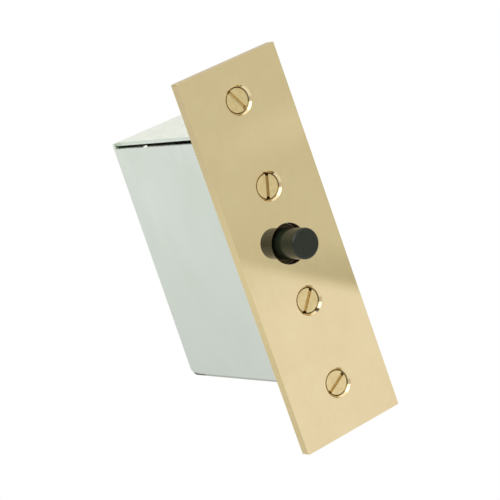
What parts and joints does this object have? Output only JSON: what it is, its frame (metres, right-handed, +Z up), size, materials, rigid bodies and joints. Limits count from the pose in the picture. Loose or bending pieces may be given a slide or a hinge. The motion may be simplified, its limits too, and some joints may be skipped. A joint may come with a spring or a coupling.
{
  "type": "door-jamb switch",
  "caption": "Door-jamb push-button switch: flat brass face plate with a black button, fixed to a narrow folded steel wall box that holds the switch mechanism.",
  "frame": {"origin": "on the button's axis, in the plane of the rear faces of the box's ears, which seats on the jamb", "axes": "-Y to the front, where the button stands out; +Z up, along the plate's length; +X to the right seen from the front"},
  "size_m": [0.036, 0.0658, 0.1175],
  "materials": {
    "plate_brass": "satin polished",
    "screw_brass": "polished",
    "zinc_sheet": "bright zinc plated",
    "green_steel": "green plated",
    "yoke_steel": "zinc plated",
    "black_moulding": "moulded phenolic",
    "rivet_steel": "nickel plated",
    "button_black": "satin moulded phenolic",
    "spring_steel": "spring wire",
    "contact_brass": "rolled strip",
    "contact_silver": "bright"
  },
  "bodies": {
    "case": {"face_plate": "plate_brass", "plate_screw_upper": "screw_brass", "plate_screw_lower": "screw_brass", "switch_screw_upper": "screw_brass", "switch_screw_lower": "screw_brass", "wall_box": "zinc_sheet", "ground_screw": "green_steel", "switch_yoke": "yoke_steel", "housing_cover": "black_moulding", "switch_housing": "black_moulding", "housing_rivet_upper": "rivet_steel", "housing_rivet_lower": "rivet_steel", "return_spring": "spring_steel", "fixed_contact_upper": "contact_brass", "fixed_contact_lower": "contact_brass", "fixed_tip_upper": "contact_silver", "fixed_tip_lower": "contact_silver", "terminal_screw_upper": "screw_brass", "terminal_screw_lower": "screw_brass"},
    "button": {"push_button": "button_black", "contact_bridge": "contact_brass", "bridge_washer": "rivet_steel", "moving_tip_upper": "contact_silver", "moving_tip_lower": "contact_silver"}
  },
  "joints": [
    {"name": "button_press", "type": "slide", "parent": "case", "child": "button", "axis": [0, 1, 0], "range_m": [0, 0.008], "stiffness_N_per_m": 350, "springref_m": -0.01, "deforming": ["return_spring"]}
  ]
}
